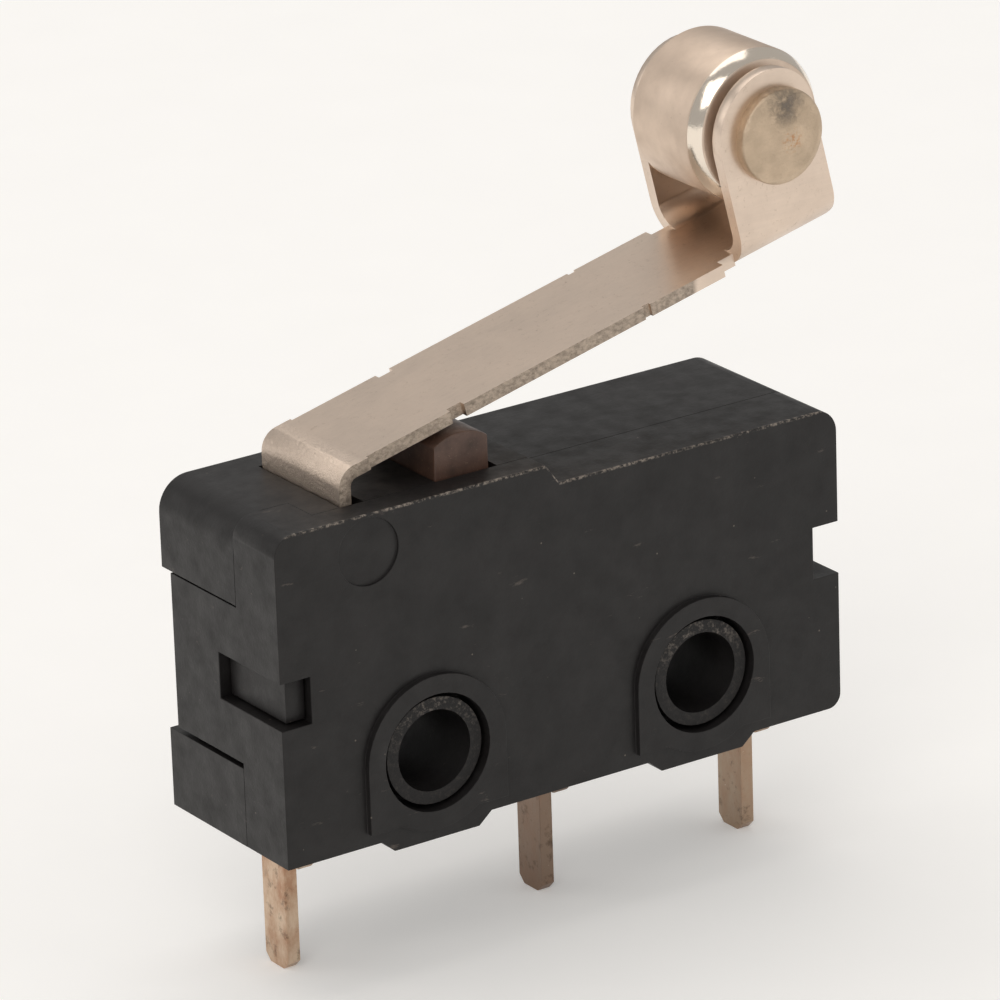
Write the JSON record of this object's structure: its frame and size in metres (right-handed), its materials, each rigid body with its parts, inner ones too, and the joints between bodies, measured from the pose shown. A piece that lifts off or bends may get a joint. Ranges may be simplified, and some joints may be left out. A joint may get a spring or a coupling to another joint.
{
  "type": "lever micro switch",
  "caption": "Small snap-action switch in a black two-part body, worked by a folded steel lever with a roller; solder pins below and two cross holes for screws.",
  "frame": {"origin": "midway between the two mounting holes, at half the moulded thickness of the body", "axes": "+X from the hinge end to the roller end, -Y out of the cover face, +Z toward the lever"},
  "size_m": [0.0208, 0.0064, 0.025],
  "materials": {
    "moulding": "black thermoplastic, moulded, faint grain",
    "plunger": "brown thermoset, moulded",
    "lever_steel": "cold rolled stainless sheet, stamped and folded",
    "roller_steel": "turned and nickel plated",
    "rivet_steel": "headed, nickel plated",
    "terminal_brass": "stamped brass, dull tinned",
    "contact_silver": "silver contact rivet",
    "blade_copper": "stamped beryllium copper",
    "spring_steel": "drawn spring wire"
  },
  "bodies": {
    "housing": {"case": "moulding", "cover": "moulding", "com_terminal": "terminal_brass", "no_terminal": "terminal_brass", "nc_terminal": "terminal_brass", "no_contact": "contact_silver", "nc_contact": "contact_silver"},
    "lever": {"lever": "lever_steel", "roller_pin": "rivet_steel"},
    "roller": {"roller": "roller_steel"},
    "plunger": {"plunger": "plunger"},
    "inner_lever": {"inner_lever": "lever_steel"},
    "blade": {"moving_blade": "blade_copper", "moving_contact": "contact_silver"},
    "snap_spring": {"snap_spring": "spring_steel"}
  },
  "joints": [
    {"name": "lever_hinge", "type": "hinge", "parent": "housing", "child": "lever", "pos_m": [-0.00677, 0, 0.007], "axis": [0, 1, 0], "range_deg": [0, 16], "stiffness_Nm_per_rad": 0.02, "springref_deg": -8.59},
    {"name": "roller_spin", "type": "hinge", "parent": "lever", "child": "roller", "pos_m": [0.0085, 0, 0.01575], "axis": [0, 1, 0], "continuous": true},
    {"name": "plunger_slide", "type": "slide", "parent": "housing", "child": "plunger", "axis": [0, 0, -1], "range_m": [0, 0.00096]},
    {"name": "inner_lever_swing", "type": "hinge", "parent": "housing", "child": "inner_lever", "pos_m": [-0.0076, 0, 0.0052], "axis": [0, 1, 0], "range_deg": [0, 10.9]},
    {"name": "blade_swing", "type": "hinge", "parent": "housing", "child": "blade", "pos_m": [-0.0006, 0, 0.0038], "axis": [0, 1, 0], "range_deg": [0, 5.1]},
    {"name": "spring_swing", "type": "hinge", "parent": "blade", "child": "snap_spring", "pos_m": [0.0033, 0, 0.0041], "axis": [0, -1, 0], "range_deg": [0, 13.4], "deforming": ["snap_spring"]}
  ],
  "couplings": [
    {"joint": "plunger_slide", "follows": "lever_hinge", "m_per_rad": 0.0034},
    {"joint": "inner_lever_swing", "follows": "lever_hinge", "ratio": 0.675},
    {"joint": "blade_swing", "follows": "lever_hinge", "ratio": 0.3125},
    {"joint": "spring_swing", "follows": "lever_hinge", "ratio": 0.829}
  ]
}
